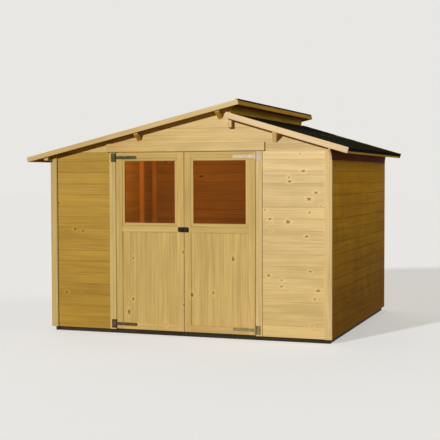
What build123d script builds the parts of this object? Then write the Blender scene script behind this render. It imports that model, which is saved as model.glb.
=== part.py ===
from math import cos, radians, sin, tan
import os

from build123d import *

# Stepped-roof wooden garden shed with a double door, in millimetres.
# +Z is up, the front faces -Y and the origin lies on the ground under the middle of the roof.

# Walls
wall_width = 3000
wall_depth = 2690
cladding_thickness = 20
left_wall_drop = 16  # from the doorway's head down to the roof boards at the outer face
right_wall_rise = 44  # the same upwards at the right wall
post_size = 50
batten_size = 45
stud_width = 45
side_stud_spacing = 900  # from the stud in the middle of a side wall to those beside it
back_stud_spacing = 1050

# Floor
bearer_height = 42
bearer_width = 60
bearer_recess = 26
floor_thickness = 18
floor_clearance = 2

# Roof
left_slope_angle = 13.2
right_slope_angle = 16.6
left_eave_reach = 240
right_eave_reach = 180
high_edge_x = 579  # from the middle of the walls
right_slab_start_x = 460  # from the middle of the walls
left_slab_overhang = 90  # past the front and back walls
right_slab_overhang = 110
roof_board_thickness = 18
felt_thickness = 3
left_rake_height = 50
right_rake_height = 57
rake_thickness = 18
rake_rise = 4  # above the felt
edge_board_thickness = 18
fascia_height = 56
fascia_rise = 8  # above the felt
fascia_felt_drop = 12  # how far the felt is dressed down over the fascia
eave_felt_drop = 31  # the same over the eave boards
step_board_thickness = 18

# Purlins and wall plates
purlin_width = 45
left_purlin_depth = 106
right_purlin_depth = 132
purlin_nose_depth = 40  # depth left at the end that carries the rake board
purlin_left_mid_x = -515  # from the middle of the walls, at the roof boards
purlin_left_upper_x = 354
purlin_right_mid_x = 963
step_purlin_depth = 126
step_purlin_reach = 47  # past the front and back walls
left_plate_width = 45
left_plate_depth = 63
right_plate_width = 20
right_plate_depth = 140
right_plate_nose_depth = 45
right_plate_cove_depth = 12  # of the hollow curve that cuts its ends back

# Doorway and doors
doorway_width = 1500
doorway_middle_x = -14  # from the middle of the walls
doorway_head_height = 1856
door_gap = 5
door_foot_height = 50
jamb_width = 70
jamb_depth = 65
header_height = 45
lintel_board_height = 86
lintel_board_thickness = 18
lintel_board_lap = 24  # past the jambs
sill_height = 28
leaf_thickness = 28
stile_width = 70
top_rail_height = 60
middle_rail_height = 65
bottom_rail_height = 70
window_sill_height = 1110
door_board_thickness = 16
door_board_setback = 6
bead_width = 28
bead_thickness = 8
bead_setback = 3
glass_thickness = 4

# Door furniture
strap_thickness = 3
strap_height = 32
strap_length = 235
plate_leaf_width = 50
plate_leaf_height = 88
knuckle_radius = 6
knuckle_clearance = 0.5
pin_radius = 3
pin_clearance = 0.3
hinge_inset = 50  # from the top and the foot of the leaf to the middle of the hinge
latch_body_reach = 59  # from the middle of the doorway
latch_keep_reach = 43
latch_height = 46
latch_thickness = 22
latch_middle_height = 1077

# Trims
trim_width = 75
trim_thickness = 16

# Places worked out from the sizes above
middle_x = (left_eave_reach - right_eave_reach) / 2
left_x = middle_x - wall_width / 2
right_x = middle_x + wall_width / 2
front_y = -wall_depth / 2
back_y = wall_depth / 2
floor_level = bearer_height + floor_thickness
left_wall_height = doorway_head_height - left_wall_drop
right_wall_height = doorway_head_height + right_wall_rise
left_plate_bottom = left_wall_height - left_plate_depth
left_plate_x = left_x - left_plate_width
right_plate_bottom = right_wall_height - right_plate_depth
right_plate_x = right_x - right_plate_width
doorway_left_x = middle_x + doorway_middle_x - doorway_width / 2
doorway_right_x = doorway_left_x + doorway_width
leaf_width = (doorway_width - 3 * door_gap) / 2
leaf_top_height = doorway_head_height - door_gap
leaf_height = leaf_top_height - door_foot_height
rake_top = roof_board_thickness + felt_thickness + rake_rise
step_x = middle_x + right_slab_start_x
high_x = middle_x + high_edge_x
inner_left_x = left_x + cladding_thickness
inner_right_x = right_x - cladding_thickness
inner_front_y = front_y + cladding_thickness
inner_back_y = back_y - cladding_thickness


def left_roof_height(x):
    """Height of the underside of the left roof boards at x."""
    return left_wall_height + (x - left_x) * tan(radians(left_slope_angle))


def right_roof_height(x):
    """Height of the underside of the right roof boards at x."""
    return right_wall_height + (right_x - x) * tan(radians(right_slope_angle))


# Each slope's plane starts under the roof boards at the wall, with its X up or down the slope,
# its Y square to the roof and its Z towards the front.
left_slope = Plane(
    origin=(left_x, 0, left_wall_height),
    x_dir=(cos(radians(left_slope_angle)), 0, sin(radians(left_slope_angle))),
    z_dir=(0, -1, 0),
)
right_slope = Plane(
    origin=(right_x, 0, right_wall_height),
    x_dir=(cos(radians(right_slope_angle)), 0, -sin(radians(right_slope_angle))),
    z_dir=(0, -1, 0),
)


def along_left(x, height=0):
    """Distance along the left slope of the point at x that lies this high above its plane."""
    return (x - left_x + height * sin(radians(left_slope_angle))) / cos(radians(left_slope_angle))


def along_right(x, height=0):
    """Distance along the right slope of the point at x that lies this high above its plane."""
    return (x - right_x - height * sin(radians(right_slope_angle))) / cos(radians(right_slope_angle))


def save(piece, name):
    """Label a finished piece and write it as its own file."""
    piece.part.label = name
    os.makedirs("parts", exist_ok=True)
    export_step(piece.part, f"parts/{name}.step")


def roof_outline(low_x, high_x_end, bottom):
    """Outline under the roof from one x to another, down to the bottom height."""
    points = [(low_x, bottom), (high_x_end, bottom)]
    if high_x_end > step_x:
        points.append((high_x_end, right_roof_height(high_x_end)))
        start = max(low_x, step_x)
        points.append((start, right_roof_height(start)))
    if low_x < step_x:
        end = min(high_x_end, step_x)
        points.append((end, left_roof_height(end)))
        points.append((low_x, left_roof_height(low_x)))
    return points


def make_boxes(name, boxes, under_roof=False):
    """Like timbers that don't touch each other, each between two corners, cut to the roof if asked."""
    with BuildPart() as piece:
        for low, high in boxes:
            with Locations(low):
                Box(
                    high[0] - low[0],
                    high[1] - low[1],
                    high[2] - low[2],
                    align=(Align.MIN, Align.MIN, Align.MIN),
                )
        if under_roof:
            with BuildSketch(Plane.XZ):
                with BuildLine():
                    Polyline(*roof_outline(left_x, right_x, 0), close=True)
                make_face()
            extrude(amount=wall_depth, both=True, mode=Mode.INTERSECT)
    save(piece, name)


def make_box(name, low, high):
    """One squared timber or board between two corners."""
    make_boxes(name, [(low, high)])


# Each sloping purlin passes through the gables, square to its slope: its slope, its middle along
# it and its depth.
purlins = {
    "purlin_left_mid": (
        left_slope,
        along_left(middle_x + purlin_left_mid_x),
        left_purlin_depth,
    ),
    "purlin_left_upper": (
        left_slope,
        along_left(middle_x + purlin_left_upper_x),
        left_purlin_depth,
    ),
    "purlin_right_mid": (
        right_slope,
        along_right(middle_x + purlin_right_mid_x),
        right_purlin_depth,
    ),
}

# The purlin under the step and the top plank of the right wall pass through the gables too, but
# stand plumb: low X, width and bottom height.
step_purlin_bottom = right_roof_height(step_x) - step_purlin_depth
plumb_places = (
    (step_x, purlin_width, step_purlin_bottom),
    (right_plate_x, right_plate_width, right_plate_bottom),
)


def cut_plumb_places():
    """Take the space of the plumb timbers out of the part being built."""
    for place_x, width, bottom in plumb_places:
        with Locations((place_x, 0, bottom)):
            Box(
                width,
                2 * wall_depth,
                wall_width,
                align=(Align.MIN, Align.CENTER, Align.MIN),
                mode=Mode.SUBTRACT,
            )


def gable_panel(name, low_x, high_x_end, low, high, face_y):
    """Cladding between two heights behind its front face, cut out for the roof timbers."""
    with BuildPart() as piece:
        with BuildSketch(Plane.XZ.offset(-face_y)):
            with BuildLine():
                Polyline(*roof_outline(low_x, high_x_end, bearer_height), close=True)
            make_face()
        extrude(amount=-cladding_thickness)
        with Locations((middle_x, 0, low)):
            Box(
                2 * wall_width,
                2 * wall_depth,
                high - low,
                align=(Align.CENTER, Align.CENTER, Align.MIN),
                mode=Mode.INTERSECT,
            )
        for slope, place, depth in purlins.values():
            with BuildSketch(slope):
                with Locations((place, 0)):
                    Rectangle(purlin_width, 2 * depth)
            extrude(amount=wall_depth, both=True, mode=Mode.SUBTRACT)
        cut_plumb_places()
    save(piece, name)


# Floor: bearers from front to back, under the side walls, the jambs and the middle of the doorway,
# with rim bearers between them under the front and back walls, and the boarded deck between the
# sole rails.
bearer_places = (
    left_x + bearer_recess,
    doorway_left_x - bearer_width,
    (doorway_left_x + doorway_right_x - bearer_width) / 2,
    doorway_right_x,
    right_x - bearer_recess - bearer_width,
)
bearer_front_y = front_y + bearer_recess
bearer_back_y = back_y - bearer_recess
bearer_boxes = []
for bearer_x in bearer_places:
    bearer_boxes.append(
        (
            (bearer_x, bearer_front_y, 0),
            (bearer_x + bearer_width, bearer_back_y, bearer_height),
        )
    )
make_boxes("floor_bearers", bearer_boxes)

rim_boxes = []
for bearer_x, next_x in zip(bearer_places, bearer_places[1:]):
    for rim_y in (bearer_front_y, bearer_back_y - bearer_width):
        rim_boxes.append(
            (
                (bearer_x + bearer_width, rim_y, 0),
                (next_x, rim_y + bearer_width, bearer_height),
            )
        )
make_boxes("rim_bearers", rim_boxes)

floor_margin = post_size + floor_clearance
make_box(
    "floor_deck",
    (inner_left_x + floor_margin, inner_front_y + floor_margin, bearer_height),
    (inner_right_x - floor_margin, inner_back_y - floor_margin, floor_level),
)

# Walls: tongue-and-groove cladding in panels.
jamb_left_x = doorway_left_x - jamb_width
jamb_right_x = doorway_right_x + jamb_width
ridge_height = left_roof_height(high_x)
gable_panel("front_wall_left", left_x, jamb_left_x, bearer_height, doorway_head_height, front_y)
gable_panel("front_wall_right", jamb_right_x, right_x, bearer_height, doorway_head_height, front_y)
gable_panel("front_gable", left_x, right_x, doorway_head_height, ridge_height, front_y)
gable_panel("back_wall", left_x, right_x, bearer_height, ridge_height, inner_back_y)
make_boxes(
    "left_wall",
    [((left_x, inner_front_y, bearer_height), (inner_left_x, inner_back_y, ridge_height))],
    under_roof=True,
)
make_box(
    "right_wall",
    (inner_right_x, inner_front_y, bearer_height),
    (right_x, inner_back_y, right_plate_bottom),
)

# Framing inside the cladding: posts, studs, sole rails and the header over the doorway.
post_left_x = inner_left_x
post_right_x = inner_right_x - post_size
post_front_y = inner_front_y
post_back_y = inner_back_y - post_size
post_boxes = []
for post_x in (post_left_x, post_right_x):
    for post_y in (post_front_y, post_back_y):
        post_boxes.append(
            (
                (post_x, post_y, bearer_height),
                (post_x + post_size, post_y + post_size, ridge_height),
            )
        )
make_boxes("corner_posts", post_boxes, under_roof=True)

rail_top = bearer_height + batten_size
side_rail_front_y = post_front_y + post_size
side_rail_back_y = post_back_y
stud_boxes = []
for stud_x in (inner_left_x, inner_right_x - batten_size):
    for stud_y in (-side_stud_spacing, 0, side_stud_spacing):
        stud_boxes.append(
            (
                (stud_x, stud_y - stud_width / 2, rail_top),
                (stud_x + batten_size, stud_y + stud_width / 2, ridge_height),
            )
        )
for stud_x in (middle_x - back_stud_spacing, middle_x, middle_x + back_stud_spacing):
    stud_boxes.append(
        (
            (stud_x - stud_width / 2, inner_back_y - batten_size, rail_top),
            (stud_x + stud_width / 2, inner_back_y, doorway_head_height),
        )
    )
make_boxes("wall_studs", stud_boxes, under_roof=True)

make_boxes(
    "sole_rails",
    [
        (
            (inner_left_x, side_rail_front_y, bearer_height),
            (inner_left_x + batten_size, side_rail_back_y, rail_top),
        ),
        (
            (inner_right_x - batten_size, side_rail_front_y, bearer_height),
            (inner_right_x, side_rail_back_y, rail_top),
        ),
        (
            (post_left_x + post_size, inner_back_y - batten_size, bearer_height),
            (post_right_x, inner_back_y, rail_top),
        ),
        (
            (post_left_x + post_size, inner_front_y, bearer_height),
            (jamb_left_x, inner_front_y + batten_size, rail_top),
        ),
        (
            (jamb_right_x, inner_front_y, bearer_height),
            (post_right_x, inner_front_y + batten_size, rail_top),
        ),
    ],
)

make_box(
    "door_jamb_left",
    (jamb_left_x, front_y, bearer_height),
    (doorway_left_x, front_y + jamb_depth, doorway_head_height),
)
make_box(
    "door_jamb_right",
    (doorway_right_x, front_y, bearer_height),
    (jamb_right_x, front_y + jamb_depth, doorway_head_height),
)
make_box(
    "door_header",
    (jamb_left_x, inner_front_y, doorway_head_height),
    (jamb_right_x, front_y + jamb_depth, doorway_head_height + header_height),
)
make_box(
    "door_lintel_board",
    (jamb_left_x - lintel_board_lap, front_y - lintel_board_thickness, doorway_head_height),
    (jamb_right_x + lintel_board_lap, front_y, doorway_head_height + lintel_board_height),
)
make_box(
    "door_sill",
    (doorway_left_x, front_y + leaf_thickness + door_gap, bearer_height),
    (doorway_right_x, front_y + jamb_depth, bearer_height + sill_height),
)

# Corner trims on the front and back faces, cut to the roof and round the right wall's top plank.
with BuildPart() as corner_trims:
    for trim_y in (front_y, back_y + trim_thickness):
        for low_x, high_x_end in ((left_x, left_x + trim_width), (right_x - trim_width, right_x)):
            with BuildSketch(Plane.XZ.offset(-trim_y)):
                with BuildLine():
                    Polyline(*roof_outline(low_x, high_x_end, bearer_height), close=True)
                make_face()
            extrude(amount=trim_thickness)
    cut_plumb_places()
save(corner_trims, "corner_trims")


# Roof timbers
def make_purlin(name, slope, place, depth):
    """A purlin square to its slope, with both ends cut back to the wall on the underside."""
    overhang = left_slab_overhang if slope is left_slope else right_slab_overhang
    reach = wall_depth / 2 + overhang - rake_thickness
    side = Plane(
        origin=slope.from_local_coords((place - purlin_width / 2, 0, 0)),
        x_dir=(0, 1, 0),
        z_dir=slope.x_dir,
    )
    with BuildPart() as piece:
        with BuildSketch(side):
            with BuildLine():
                Polyline(
                    (-reach, 0),
                    (-reach, -purlin_nose_depth),
                    (front_y, -depth),
                    (back_y, -depth),
                    (reach, -purlin_nose_depth),
                    (reach, 0),
                    close=True,
                )
            make_face()
        extrude(amount=purlin_width)
    save(piece, name)


for purlin_name, (purlin_slope, purlin_place, purlin_depth) in purlins.items():
    make_purlin(purlin_name, purlin_slope, purlin_place, purlin_depth)


def make_plumb_timber(name, low_x, width, bottom, roof_height, reach):
    """A timber with plumb sides from front to back, bevelled to the roof on top."""
    end_x = low_x + width
    with BuildPart() as piece:
        with BuildSketch(Plane.XZ):
            with BuildLine():
                Polyline(
                    (low_x, bottom),
                    (end_x, bottom),
                    (end_x, roof_height(end_x)),
                    (low_x, roof_height(low_x)),
                    close=True,
                )
            make_face()
        extrude(amount=reach, both=True)
    save(piece, name)


make_plumb_timber(
    "purlin_right_upper",
    step_x,
    purlin_width,
    step_purlin_bottom,
    right_roof_height,
    wall_depth / 2 + step_purlin_reach,
)

# The left wall plate lies outside the wall, under the eave.
make_plumb_timber(
    "wall_plate_left",
    left_plate_x,
    left_plate_width,
    left_plate_bottom,
    left_roof_height,
    wall_depth / 2 + left_slab_overhang - rake_thickness,
)

# The right wall's top plank stands on its cladding, with ends cut back in a hollow curve.
right_plate_reach = wall_depth / 2 + right_slab_overhang - rake_thickness
right_plate_nose_bottom = right_wall_height - right_plate_nose_depth
trim_face_y = wall_depth / 2 + trim_thickness
with BuildPart() as wall_plate_right:
    with BuildSketch(Plane.YZ.offset(right_plate_x)):
        with BuildLine():
            Polyline(
                (trim_face_y, right_plate_bottom),
                (-trim_face_y, right_plate_bottom),
            )
            SagittaArc(
                (-trim_face_y, right_plate_bottom),
                (-right_plate_reach, right_plate_nose_bottom),
                -right_plate_cove_depth,
            )
            Polyline(
                (-right_plate_reach, right_plate_nose_bottom),
                (-right_plate_reach, ridge_height),
                (right_plate_reach, ridge_height),
                (right_plate_reach, right_plate_nose_bottom),
            )
            SagittaArc(
                (right_plate_reach, right_plate_nose_bottom),
                (trim_face_y, right_plate_bottom),
                -right_plate_cove_depth,
            )
        make_face()
    extrude(amount=right_plate_width)
    with BuildSketch(Plane.XZ):
        with BuildLine():
            Polyline(
                (right_plate_x, right_plate_bottom),
                (right_x, right_plate_bottom),
                (right_x, right_wall_height),
                (right_plate_x, right_roof_height(right_plate_x)),
                close=True,
            )
        make_face()
    extrude(amount=wall_depth, both=True, mode=Mode.INTERSECT)
save(wall_plate_right, "wall_plate_right")


# Roof slabs: boards, felt, the boards along their edges and the rake boards across their ends.
def make_layer(name, slope, strips, reach):
    """A layer of a roof slab: joined strips, each between two places on its slope and two heights."""
    with BuildPart() as piece:
        with BuildSketch(slope):
            for start, end, low, high in strips:
                with Locations(((start + end) / 2, (low + high) / 2)):
                    Rectangle(end - start, high - low)
        extrude(amount=reach, both=True)
    save(piece, name)


def make_rake(name, slope, start, end, outer_y):
    """A rake board nailed across the ends of the purlins, square-cut at its ends."""
    height = left_rake_height if slope is left_slope else right_rake_height
    with BuildPart() as piece:
        with BuildSketch(slope.offset(-outer_y)):
            with Locations(((start + end) / 2, rake_top - height / 2)):
                Rectangle(end - start, height)
        extrude(amount=-rake_thickness)
    save(piece, name)


felt_top = roof_board_thickness + felt_thickness
left_start = along_left(left_x - left_eave_reach, rake_top)
left_end = along_left(high_x, rake_top)
left_reach = wall_depth / 2 + left_slab_overhang
left_board_reach = left_reach - rake_thickness
left_edge = left_start + felt_thickness  # outer face of the eave board, under the felt
right_start = along_right(step_x)
right_end = along_right(right_x + right_eave_reach, rake_top)
right_reach = wall_depth / 2 + right_slab_overhang
right_board_reach = right_reach - rake_thickness
right_edge = right_end - felt_thickness
fascia_top = felt_top + fascia_rise
fascia_outer = left_end - felt_thickness
fascia_inner = fascia_outer - edge_board_thickness
fascia_felt_top = fascia_top + felt_thickness
make_layer(
    "roof_boards_left",
    left_slope,
    [(left_edge + edge_board_thickness, fascia_inner, 0, roof_board_thickness)],
    left_board_reach,
)
make_layer(
    "roof_boards_right",
    right_slope,
    [(right_start, right_edge - edge_board_thickness, 0, roof_board_thickness)],
    right_board_reach,
)
make_layer(
    "high_edge_fascia",
    left_slope,
    [(fascia_inner, fascia_outer, fascia_top - fascia_height, fascia_top)],
    left_board_reach,
)

# The felt is dressed down over the eave boards, and up and over the fascia at the high edge.
make_layer(
    "roof_felt_left",
    left_slope,
    [
        (left_start, fascia_inner, roof_board_thickness, felt_top),
        (left_start, left_edge, felt_top - eave_felt_drop, felt_top),
        (fascia_inner - felt_thickness, fascia_inner, roof_board_thickness, fascia_felt_top),
        (fascia_inner - felt_thickness, left_end, fascia_top, fascia_felt_top),
        (fascia_outer, left_end, fascia_top - fascia_felt_drop, fascia_felt_top),
    ],
    left_board_reach,
)
make_layer(
    "roof_felt_right",
    right_slope,
    [
        (right_start + step_board_thickness, right_end, roof_board_thickness, felt_top),
        (right_edge, right_end, felt_top - eave_felt_drop, felt_top),
    ],
    right_board_reach,
)
with BuildPart() as eave_boards:
    for eave_slope, eave_start, eave_low, eave_reach in (
        (left_slope, left_edge, rake_top - left_rake_height, left_board_reach),
        (
            right_slope,
            right_edge - edge_board_thickness,
            rake_top - right_rake_height,
            right_board_reach,
        ),
    ):
        with BuildSketch(eave_slope):
            with Locations((eave_start, eave_low)):
                Rectangle(
                    edge_board_thickness,
                    roof_board_thickness - eave_low,
                    align=(Align.MIN, Align.MIN),
                )
        extrude(amount=eave_reach, both=True)
save(eave_boards, "eave_boards")
make_rake("front_rake_left", left_slope, left_start, left_end, -left_reach)
make_rake("back_rake_left", left_slope, left_start, left_end, left_reach - rake_thickness)
make_rake("front_rake_right", right_slope, right_start, right_end, -right_reach)
make_rake("back_rake_right", right_slope, right_start, right_end, right_reach - rake_thickness)

# The upright board that closes the step between the two slabs.
step_bottom_left = right_roof_height(step_x) + roof_board_thickness / cos(radians(right_slope_angle))
step_fall = step_board_thickness * tan(radians(right_slope_angle))
step_rise = step_board_thickness * tan(radians(left_slope_angle))
with BuildPart() as step_board:
    with BuildSketch(Plane.XZ.offset(wall_depth / 2)):
        with BuildLine():
            Polyline(
                (step_x, step_bottom_left),
                (step_x + step_board_thickness, step_bottom_left - step_fall),
                (step_x + step_board_thickness, left_roof_height(step_x) + step_rise),
                (step_x, left_roof_height(step_x)),
                close=True,
            )
        make_face()
    extrude(amount=-wall_depth)
save(step_board, "step_board")


# Doors. Each leaf is measured from its hinge side, so the right leaf mirrors the left one.
def door_plane(side):
    """Front plane of a leaf from its hinge side: X towards the meeting edge, Y up, Z to the front."""
    if side == "left":
        return Plane(origin=(doorway_left_x + door_gap, front_y, 0), x_dir=(1, 0, 0), z_dir=(0, -1, 0))
    return Plane(origin=(doorway_right_x - door_gap, front_y, 0), x_dir=(1, 0, 0), z_dir=(0, -1, 0))


def span(side, start, end):
    """Middle and length of a stretch measured from the hinge side of a leaf."""
    sign = 1 if side == "left" else -1
    return sign * (start + end) / 2, end - start


window_top = leaf_top_height - top_rail_height
panel_top = window_sill_height - middle_rail_height
panel_bottom = door_foot_height + bottom_rail_height


def make_door_panel(name, side, start, end, low, high, setback, thickness):
    """A flat rectangular piece of a leaf."""
    middle, length = span(side, start, end)
    with BuildPart() as piece:
        with BuildSketch(door_plane(side).offset(-setback)):
            with Locations((middle, (low + high) / 2)):
                Rectangle(length, high - low)
        extrude(amount=-thickness)
    save(piece, name)


for side in ("left", "right"):
    leaf_middle, leaf_length = span(side, 0, leaf_width)
    hole_middle, hole_length = span(side, stile_width, leaf_width - stile_width)

    # Stiles and rails around the window and the boarded lower part
    with BuildPart() as door_frame:
        with BuildSketch(door_plane(side)):
            with Locations((leaf_middle, (door_foot_height + leaf_top_height) / 2)):
                Rectangle(leaf_length, leaf_height)
            with Locations((hole_middle, (window_sill_height + window_top) / 2)):
                Rectangle(hole_length, window_top - window_sill_height, mode=Mode.SUBTRACT)
            with Locations((hole_middle, (panel_bottom + panel_top) / 2)):
                Rectangle(hole_length, panel_top - panel_bottom, mode=Mode.SUBTRACT)
        extrude(amount=-leaf_thickness)
    save(door_frame, f"{side}_door_frame")

    make_door_panel(
        f"{side}_door_boards",
        side,
        stile_width,
        leaf_width - stile_width,
        panel_bottom,
        panel_top,
        door_board_setback,
        door_board_thickness,
    )
    make_door_panel(
        f"{side}_door_glass",
        side,
        stile_width,
        leaf_width - stile_width,
        window_sill_height,
        window_top,
        bead_setback + bead_thickness,
        glass_thickness,
    )

    # Glazing bead in front of the glass
    with BuildPart() as window_bead:
        with BuildSketch(door_plane(side).offset(-bead_setback)):
            with Locations((hole_middle, (window_sill_height + window_top) / 2)):
                Rectangle(hole_length, window_top - window_sill_height)
                Rectangle(
                    hole_length - 2 * bead_width,
                    window_top - window_sill_height - 2 * bead_width,
                    mode=Mode.SUBTRACT,
                )
        extrude(amount=-bead_thickness)
    save(window_bead, f"{side}_window_bead")

# Hinges: each strap turns with its leaf on a pin held by the plate on the jamb.
hinge_heights = (door_foot_height + hinge_inset, leaf_top_height - hinge_inset)
axis_y = front_y - knuckle_radius - knuckle_clearance
strap_knuckle = strap_height / 2
strap_root = knuckle_clearance + door_gap / 2  # from the pin to the middle of the strap's root
for side in ("left", "right"):
    sign = 1 if side == "left" else -1
    axis_x = doorway_left_x if side == "left" else doorway_right_x

    with BuildPart() as hinge_straps:
        for hinge_height in hinge_heights:
            with BuildSketch(Plane.XZ.offset(-front_y)):
                with Locations((axis_x + sign * (strap_length + door_gap) / 2, hinge_height)):
                    Rectangle(strap_length - door_gap, strap_height)
            extrude(amount=strap_thickness)
            with BuildSketch(Plane.XY.offset(hinge_height - strap_knuckle)):
                with Locations((axis_x, axis_y)):
                    Circle(knuckle_radius)
                with Locations((axis_x + sign * strap_root, front_y - strap_thickness / 2)):
                    Rectangle(door_gap, strap_thickness)
                with Locations((axis_x, axis_y)):
                    Circle(pin_radius + pin_clearance, mode=Mode.SUBTRACT)
            extrude(amount=strap_height)
    save(hinge_straps, f"{side}_hinge_straps")

    with BuildPart() as hinge_plates:
        for hinge_height in hinge_heights:
            plate_middle = axis_x - sign * (plate_leaf_width + knuckle_radius) / 2
            with BuildSketch(Plane.XZ.offset(-front_y)):
                with Locations((plate_middle, hinge_height)):
                    Rectangle(plate_leaf_width - knuckle_radius, plate_leaf_height)
            extrude(amount=strap_thickness)
            for low, high in (
                (hinge_height - plate_leaf_height / 2, hinge_height - strap_knuckle - knuckle_clearance),
                (hinge_height + strap_knuckle + knuckle_clearance, hinge_height + plate_leaf_height / 2),
            ):
                with BuildSketch(Plane.XY.offset(low)):
                    with Locations((axis_x, axis_y)):
                        Circle(knuckle_radius)
                    with Locations((axis_x - sign * knuckle_radius / 2, front_y - strap_thickness / 2)):
                        Rectangle(knuckle_radius, strap_thickness)
                extrude(amount=high - low)
            with BuildSketch(Plane.XY.offset(hinge_height - strap_knuckle - knuckle_clearance)):
                with Locations((axis_x, axis_y)):
                    Circle(pin_radius)
            extrude(amount=strap_height + 2 * knuckle_clearance)
    save(hinge_plates, f"{side}_hinge_plates")

# Latch across the meeting edges: its body on the left leaf and its keep on the right one
meeting_x = (doorway_left_x + doorway_right_x) / 2
latch_low = latch_middle_height - latch_height / 2
latch_high = latch_middle_height + latch_height / 2
make_box(
    "latch_body",
    (meeting_x - latch_body_reach, front_y - latch_thickness, latch_low),
    (meeting_x - door_gap / 2, front_y, latch_high),
)
make_box(
    "latch_keep",
    (meeting_x + door_gap / 2, front_y - latch_thickness, latch_low),
    (meeting_x + latch_keep_reach, front_y, latch_high),
)
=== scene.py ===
from math import cos, pi, radians, sin
import random

import bmesh
import bpy
from mathutils import Matrix, Vector


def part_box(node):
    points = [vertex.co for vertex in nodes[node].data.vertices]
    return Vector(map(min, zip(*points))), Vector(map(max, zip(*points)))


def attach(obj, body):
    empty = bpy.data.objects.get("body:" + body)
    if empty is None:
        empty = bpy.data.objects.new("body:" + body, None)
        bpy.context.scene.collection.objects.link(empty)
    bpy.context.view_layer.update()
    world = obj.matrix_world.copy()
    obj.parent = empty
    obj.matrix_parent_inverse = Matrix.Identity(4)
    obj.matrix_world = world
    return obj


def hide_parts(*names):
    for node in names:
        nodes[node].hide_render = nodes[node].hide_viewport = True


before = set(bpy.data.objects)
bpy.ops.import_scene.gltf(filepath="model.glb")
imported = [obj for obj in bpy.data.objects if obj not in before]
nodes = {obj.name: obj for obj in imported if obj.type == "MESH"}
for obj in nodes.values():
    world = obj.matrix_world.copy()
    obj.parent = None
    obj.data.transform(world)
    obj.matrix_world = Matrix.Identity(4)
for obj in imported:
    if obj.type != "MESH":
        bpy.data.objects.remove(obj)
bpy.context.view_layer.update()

# A wooden garden shed with a stepped felt roof and a double door, dressed around its solids.
# Metres. The front faces -Y, and the origin lies on the ground under the middle of the roof.

chance = random.Random(23)

x_axis = Vector((1, 0, 0))
y_axis = Vector((0, 1, 0))
z_axis = Vector((0, 0, 1))

# Camera, as solved from the photograph
camera_place = Vector((3.7982, -10.9475, 1.6026))
camera_yaw = radians(19.5025)
camera_pitch = radians(-2.3953)
camera_roll = radians(-0.1602)
photo_size = 440
sensor_width = 36
camera_lens = 84.54
camera_reach = 200

# Tolerances on the solids, and the angles between faces that count as flat or sharp
weld_distance = 0.00005
cut_tolerance = 0.00001
touching_distance = 0.003
flat_angle = radians(1)
sharp_angle = radians(20)
shading_angle = radians(35)

# Boards and the grooves between them
wall_board_width = 0.115
roof_board_width = 0.115
floor_board_width = 0.12
door_board_count = 7
narrowest_board = 0.006
wall_groove = 0.0018
side_wall_groove = 0.0028
door_groove = 0.0008
wall_foot_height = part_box("front_wall_left")[0].z
gable_foot_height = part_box("front_gable")[0].z
front_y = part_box("front_wall_left")[0].y

# Edges and joints of the timbers
planed_edge = 0.002
sawn_edge = 0.0012
bead_edge = 0.003
trim_rounding = 0.0145
jamb_joint_width = 0.004
jamb_joint_depth = 0.014

# Felt
lap_width = 0.09
lap_thickness = 0.0015
lap_edge = lap_thickness / 3

# Nails and screws
head_height = 0.0014
nail_radius = 0.0032
nail_sides = 8
clout_radius = 0.005
clout_count = 24
clout_inset = 0.02
nail_height_in_board = 0.3  # of the board's width, from its foot
trim_nail_count = 5
lintel_nail_count = 5
lintel_nail_inset = 0.04
screw_radius = 0.0042
screw_sides = 12

# Hinges
strap_thickness = 0.003
strap_height = 0.032
strap_tip_radius = 0.013
strap_screw_insets = (0.018, 0.085, 0.15, 0.205)  # from the strap's tip
plate_height = 0.088
plate_corner_radius = 0.006
plate_screw_insets = (0.012, 0.03)  # from the plate's outer edge
plate_screw_rise = 0.03  # above and below the plate's middle

# Latch
latch_edge = 0.003
latch_screw_inset = 0.007
boss_foot_radius = 0.012
boss_top_radius = 0.01
boss_height = 0.006
boss_sides = 20
grip_reach = 0.011
grip_half_height = 0.003
grip_edge = 0.0015

# Knots that show in the photograph, in its pixels
right_panel_knots = (
    (316, 193), (309, 199), (321.5, 206), (265, 210), (309.5, 212.5), (270, 219),
    (271.5, 222.5), (288, 222), (306.5, 224.5), (271.5, 231), (306.5, 236.5), (310, 271.5),
    (268.5, 275.5), (282, 280), (281.5, 286.5), (318, 291), (314.5, 299), (312, 325.5),
    (267, 329.5), (300, 154), (303, 171), (289, 177), (290, 181.5),
)
left_panel_knots = ((75, 229), (83, 231), (59, 203), (67, 292), (84, 320))
door_knots = (
    (186.5, 237), (183, 252), (184, 305), (167, 325), (133, 258), (129, 312), (192, 295),
    (213, 293), (186.5, 185), (133, 299), (233, 259),
)


# Shapes

def merged_solid(node):
    """A copy of a solid with its triangles joined back into whole faces."""
    solid = bmesh.new()
    solid.from_mesh(nodes[node].data)
    bmesh.ops.remove_doubles(solid, verts=solid.verts, dist=weld_distance)
    bmesh.ops.dissolve_limit(
        solid, angle_limit=flat_angle, verts=solid.verts, edges=solid.edges
    )
    return solid


def squared(low, high):
    """A squared timber between two corners."""
    timber = bmesh.new()
    bmesh.ops.create_cube(timber, size=1)
    size = Vector(high) - Vector(low)
    bmesh.ops.scale(timber, vec=size, verts=timber.verts)
    bmesh.ops.translate(timber, vec=(Vector(low) + Vector(high)) / 2, verts=timber.verts)
    return timber


def saw_off(solid, place, outwards):
    """Take away what lies past a plane, and close the cut."""
    bmesh.ops.bisect_plane(
        solid,
        geom=solid.verts[:] + solid.edges[:] + solid.faces[:],
        dist=cut_tolerance,
        plane_co=place,
        plane_no=outwards,
        clear_outer=True,
    )
    open_edges = [edge for edge in solid.edges if edge.is_boundary]
    bmesh.ops.holes_fill(solid, edges=open_edges, sides=0)


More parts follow.
